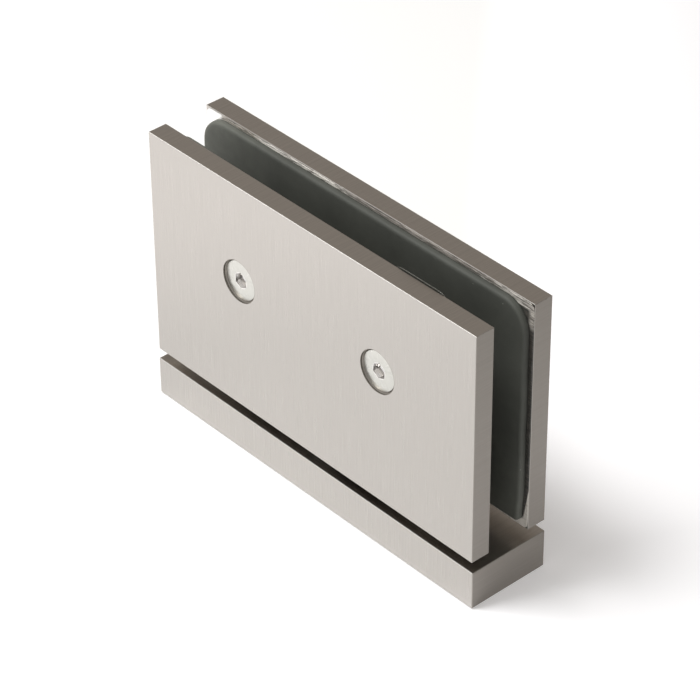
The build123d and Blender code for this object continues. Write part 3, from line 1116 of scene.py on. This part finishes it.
def die_cut_rubber(name):
    """Matt rubber: a deep, slightly green black, mottled and dusty, with a painted sheen
    that lightens it to the left and at the foot."""
    material = bpy.data.materials.new(name)
    tree = empty_tree(material)
    place = add(tree, "ShaderNodeTexCoord").outputs
    mottle = add(
        tree,
        "ShaderNodeTexNoise",
        {"Vector": place["Object"], "Scale": 1 / mottle_size, "Detail": 5.0, "Roughness": 0.6},
    )
    grain = add(
        tree,
        "ShaderNodeTexNoise",
        {
            "Vector": place["Object"],
            "Scale": 1 / rubber_grain_size,
            "Detail": 3.0,
            "Roughness": 0.6,
        },
    )
    split = add(tree, "ShaderNodeSeparateXYZ", {0: place["Object"]}).outputs
    sheen_shares = []
    for axis, (begins, fullest, strength) in (("X", sheen_to_left), ("Z", sheen_to_foot)):
        sheen_shares.append(
            add(tree, "ShaderNodeMapRange", {0: split[axis], 1: begins, 2: fullest, 4: strength})
        )
    sheen_fullest = add(tree, "ShaderNodeMath", {0: sheen_shares[0], 1: sheen_shares[1]}, operation="MAXIMUM")
    painted_sheen = add(tree, "ShaderNodeMath", {0: sheen_fullest, 1: mottle}, operation="MULTIPLY")
    cells = add(
        tree, "ShaderNodeTexVoronoi", {"Vector": place["Object"], "Scale": 1 / dust_spacing}
    )
    specks = add(
        tree,
        "ShaderNodeMath",
        {0: cells.outputs["Distance"], 1: dust_radius / dust_spacing},
        operation="LESS_THAN",
    )
    colour = linear(rubber_dark)
    for share, tone in ((mottle, rubber_light), (painted_sheen, rubber_painted_sheen), (specks, dust_pale)):
        colour = add(
            tree, "ShaderNodeMix", {0: share, 6: colour, 7: linear(tone)}, data_type="RGBA"
        ).outputs[2]
    surface(tree, colour, rubber_roughness, grain, rubber_relief, rubber_depth, metallic=0.0)
    return material


def smooth(share):
    """Eases a share between 0 and 1 in and out."""
    held = min(max(share, 0.0), 1.0)
    return held * held * (3 - 2 * held)


gasket_rubber = die_cut_rubber("die_cut_rubber")
block_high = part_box("pivot_block")[1]
notch_half = block_high[0] + notch_gap
notch_top = block_high[2] + notch_gap
for name, plate_side in (("front_gasket", -1), ("rear_gasket", 1)):
    low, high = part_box(name)
    if plate_side > 0:
        low = (low[0] - rear_left_overreach, low[1], low[2])
        high = (high[0] + rear_right_overreach, high[1], high[2])
    left_corner = loose_corner if plate_side < 0 else gasket_corner
    outline = notch_outline(low, high, notch_half, notch_top, left_corner, gasket_corner)
    cut = []
    for place, point in enumerate(outline):
        wander = noise.noise(Vector((point.x, plate_side, point.y)) / edge_wave_length)
        moved = point - outward(outline, place) * edge_wave * (1 + wander)
        if plate_side > 0 and point.x > drawn_in_from:
            moved.x -= drawn_in * smooth((low[2] + drawn_in_height - point.y) / drawn_in_height)
        cut.append(moved)
    near_y, far_y = (low[1], high[1]) if plate_side < 0 else (high[1], low[1])

    def loosened(point, inset):
        """How far the sheet has come off its plate."""
        if plate_side > 0:
            return 0.0
        along = smooth((low[0] + front_lift_end - point.x) / front_lift_fade)
        up = smooth((point.y - high[2] + front_lift_fade) / front_lift_fade)
        return front_lift * along * up

    gasket = sheet_on_plate("die_cut_" + name, cut, gasket_edge, near_y, far_y, loosened)
    gasket.data.materials.append(gasket_rubber)
    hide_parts(name)
    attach(gasket, "clamp")

# Adhesive films
# Thin milky film holds each gasket. The rear one has a free margin, which is crinkled at
# its right end. Its tone is painted light and shade: white at its left end and greyer to the
# right, with painted shade down the right side, painted highlights along a crease line and on
# the crinkles, and pale at the foot. Of the front one only a tongue shows, which stands above
# the plate, with a painted highlight on its top rim.
film_edge = ((0.0, 0.0), (0.0, 1.0), (0.0002, 1.0), (0.0005, 1.0), (0.0008, 1.0))
film_corner = 0.0014
film_right_overreach = 0.0001
film_foot_overreach = 0.0013
# The rear film's tones, each at its place along X: painted light and shade, white to the left and
# grey to the right.
film_painted_light_tones = (
    (-0.0412, "FBFBFA"),
    (-0.0398, "B5AFA6"),
    (-0.0310, "A8A298"),
    (-0.0280, "DDD9D2"),
    (-0.0060, "D8D4CC"),
    (-0.0020, "96908A"),
    (0.0340, "8E8982"),
    (0.0365, "BDB9B2"),
)
film_half_width = 0.045
crease_slope = 0.06
crease_height = 0.06279
crease_width = 0.0003
foot_slope = -6.0
foot_height = -0.2492
# Each zone of the film: what it is measured along, where it begins, where it is full.
film_zones = (
    ("clean corner", "X", -0.0400, -0.0412),
    ("right side", "X", 0.030, 0.031),
    ("right edge", "X", 0.0434, 0.0442),
    ("high up", "Z", 0.0556, 0.0572),
    ("under the sheet", "Z", 0.0135, 0.0125),
    ("below the crease", "crease", crease_height, crease_height - 0.0004),
    ("toward the foot", "foot", foot_height, foot_height - 0.001),
)
# Painted shade on the film's right margin, below the crease.
film_painted_shade = "383835"
# Painted highlight along the crease line.
film_shaded = "D0CBC3"
crease_painted_highlight = "D5D1CA"
# Painted highlight on the crinkled patch at the right edge.
side_crinkle_painted_highlight = "B9B4AC"
film_scuff = "57534E"
film_gloss = "F7F7F5"
film_roughness = 0.3
film_relief = 0.3
film_depth = 0.00006
film_foot_calm = 0.6
scuff_run = 0.0025
scuff_gap = 0.0003
scuff_marks = (0.46, 0.58, 0.85)
crinkle_length = 0.0011
crinkle_height = 0.00022
crinkle_patch = 0.012
crinkle_cover = 0.3
crinkle_stand = 0.6
ripple_slice = 5.0
patch_slice = 9.0
tongue_from = 0.0172
tongue_to = 0.0350
tongue_ends = 0.004
tongue_rise = 0.0003
tongue_lift = 0.0001
# Above this height the front film is the tongue.
tongue_foot = 0.0606
tongue_dark = "30312D"
# Painted highlight on the tongue's upward-facing rim.
tongue_rim_painted_highlight = "6C6B64"


def milky_film(name):
    """Thin milky plastic, which shines white where it is clean. It is scratched and scuffed
    along its margin. Painted light and shade grade it along X and darken its right margin,
    with painted highlights along a crease line and on the crinkled corner. The front one's
    tongue is dark, with a painted highlight on its top rim."""
    material = bpy.data.materials.new(name)
    tree = empty_tree(material)
    place = add(tree, "ShaderNodeTexCoord").outputs
    spot = add(tree, "ShaderNodeSeparateXYZ", {0: place["Object"]}).outputs
    line = {"X": spot["X"], "Z": spot["Z"]}
    for kind, slope in (("crease", crease_slope), ("foot", foot_slope)):
        line[kind] = add(
            tree,
            "ShaderNodeVectorMath",
            {0: place["Object"], 1: (slope, 0, 1)},
            operation="DOT_PRODUCT",
        ).outputs["Value"]
    zone = {}
    for kind, along, begins, full in film_zones:
        zone[kind] = add(tree, "ShaderNodeMapRange", {0: line[along], 1: begins, 2: full})
    zone["pale foot"] = add(
        tree,
        "ShaderNodeMath",
        {0: zone["toward the foot"], 1: zone["under the sheet"]},
        operation="MAXIMUM",
    )
    zone["on the crease"] = add(
        tree,
        "ShaderNodeMath",
        {0: line["crease"], 1: crease_height, 2: crease_width / 2},
        operation="COMPARE",
    )
    zone["front film"] = add(tree, "ShaderNodeMath", {0: spot["Y"], 1: 0.0}, operation="LESS_THAN")
    zone["raised"] = add(
        tree, "ShaderNodeMath", {0: spot["Z"], 1: tongue_foot}, operation="GREATER_THAN"
    )
    for kind, first, second in (
        ("shaded margin", "right side", "below the crease"),
        ("creased", "right side", "on the crease"),
        ("puckered", "right edge", "high up"),
        ("calm foot", "right side", "pale foot"),
        ("tongue", "front film", "raised"),
    ):
        zone[kind] = add(
            tree, "ShaderNodeMath", {0: zone[first], 1: zone[second]}, operation="MULTIPLY"
        )
    scuff_place = add(
        tree,
        "ShaderNodeVectorMath",
        {0: place["Object"], 1: (1 / scuff_run, 1 / scuff_gap, 1 / scuff_gap)},
        operation="MULTIPLY",
    )
    scuffs = add(
        tree,
        "ShaderNodeTexNoise",
        {"Vector": scuff_place, "Scale": 1.0, "Detail": 3.0, "Roughness": 0.65},
    )
    scuffed = add(
        tree,
        "ShaderNodeMapRange",
        {0: scuffs, 1: scuff_marks[0], 2: scuff_marks[1], 4: scuff_marks[2]},
    )
    calm = add(
        tree,
        "ShaderNodeMath",
        {0: zone["calm foot"], 1: film_foot_calm, 2: zone["clean corner"]},
        operation="MULTIPLY_ADD",
    )
    zone["scuffed"] = add(
        tree, "ShaderNodeMath", {0: scuffed, 1: calm}, operation="SUBTRACT", use_clamp=True
    )
    side_tone = add(
        tree,
        "ShaderNodeMix",
        {0: zone["pale foot"], 6: linear(film_painted_shade), 7: linear(film_shaded)},
        data_type="RGBA",
    )
    looking = add(tree, "ShaderNodeSeparateXYZ", {0: place["Normal"]}).outputs
    rim = add(tree, "ShaderNodeMath", {0: looking["Z"], 1: 0.5}, operation="GREATER_THAN")
    tongue_tone = add(
        tree,
        "ShaderNodeMix",
        {0: rim, 6: linear(tongue_dark), 7: linear(tongue_rim_painted_highlight)},
        data_type="RGBA",
    )
    colour = graded(tree, spot["X"], film_half_width, film_painted_light_tones)
    for kind, tone in (
        ("shaded margin", side_tone.outputs[2]),
        ("creased", linear(crease_painted_highlight)),
        ("puckered", linear(side_crinkle_painted_highlight)),
        ("scuffed", linear(film_scuff)),
        ("clean corner", linear(film_gloss)),
        ("tongue", tongue_tone.outputs[2]),
    ):
        colour = add(
            tree, "ShaderNodeMix", {0: zone[kind], 6: colour, 7: tone}, data_type="RGBA"
        ).outputs[2]
    surface(
        tree, colour, film_roughness, scuffs, film_relief, film_depth, metallic=zone["clean corner"]
    )
    return material


def on_tongue(x):
    """How much a place belongs to the front film's tongue."""
    return smooth((x - tongue_from) / tongue_ends) * smooth((tongue_to - x) / tongue_ends)


film_plastic = milky_film("milky_film")
plate_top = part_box("front_plate")[1][2]
for name, plate_side in (("front_adhesive_film", -1), ("rear_adhesive_film", 1)):
    low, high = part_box(name)
    if plate_side > 0:
        low = (low[0], low[1], low[2] - film_foot_overreach)
        high = (high[0] + film_right_overreach, high[1], high[2])
    outline = notch_outline(low, high, notch_half, notch_top, film_corner, film_corner)
    near_y, far_y = (low[1], high[1]) if plate_side < 0 else (high[1], low[1])
    if plate_side < 0:
        for point in outline:
            if point.y > high[2] - tongue_rise:
                point.y += (plate_top + tongue_rise - high[2]) * on_tongue(point.x)

    def crinkled(point, inset):
        """How far the film stands off its plate."""
        loose = max(0.0, 1 - inset / film_edge[-1][0])
        if plate_side < 0:
            return tongue_lift * loose * on_tongue(point.x)
        ripple = noise.noise(Vector((point.x, ripple_slice, point.y)) / crinkle_length)
        patch = noise.noise(Vector((point.x, patch_slice, point.y)) / crinkle_patch)
        where = smooth(2 * patch + crinkle_cover)
        return -crinkle_height * loose * where * (crinkle_stand + ripple)

    film = sheet_on_plate("crinkled_" + name, outline, film_edge, near_y, far_y, crinkled)
    film.data.materials.append(film_plastic)
    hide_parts(name)
    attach(film, "clamp")
